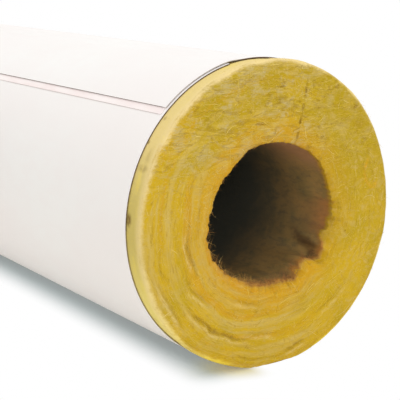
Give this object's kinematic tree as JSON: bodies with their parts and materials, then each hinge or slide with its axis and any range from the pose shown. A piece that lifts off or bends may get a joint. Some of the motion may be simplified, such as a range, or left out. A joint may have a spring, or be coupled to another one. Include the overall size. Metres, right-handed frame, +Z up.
{
  "type": "fiberglass pipe insulation",
  "caption": "Straight tube of yellow glass wool with a round bore and a lengthwise slit, in a white paper jacket whose flap laps over a pink release strip.",
  "frame": {"origin": "centre of the bore, halfway along the section", "axes": "+X along the bore, towards the end that faces the viewer in the picture; +Z up, with the section lying on its side"},
  "size_m": [0.9144, 0.1022, 0.1021],
  "materials": {
    "glass_wool": "matt fibrous yellow wool, paler on its moulded skin and brown in the bore",
    "jacket_paper": "smooth white paper laminate, low sheen",
    "release_paper": "thin pale pink release paper, low sheen"
  },
  "bodies": {
    "root": {"wool_tube": "glass_wool", "jacket": "jacket_paper", "release_strip": "release_paper"}
  },
  "joints": []
}
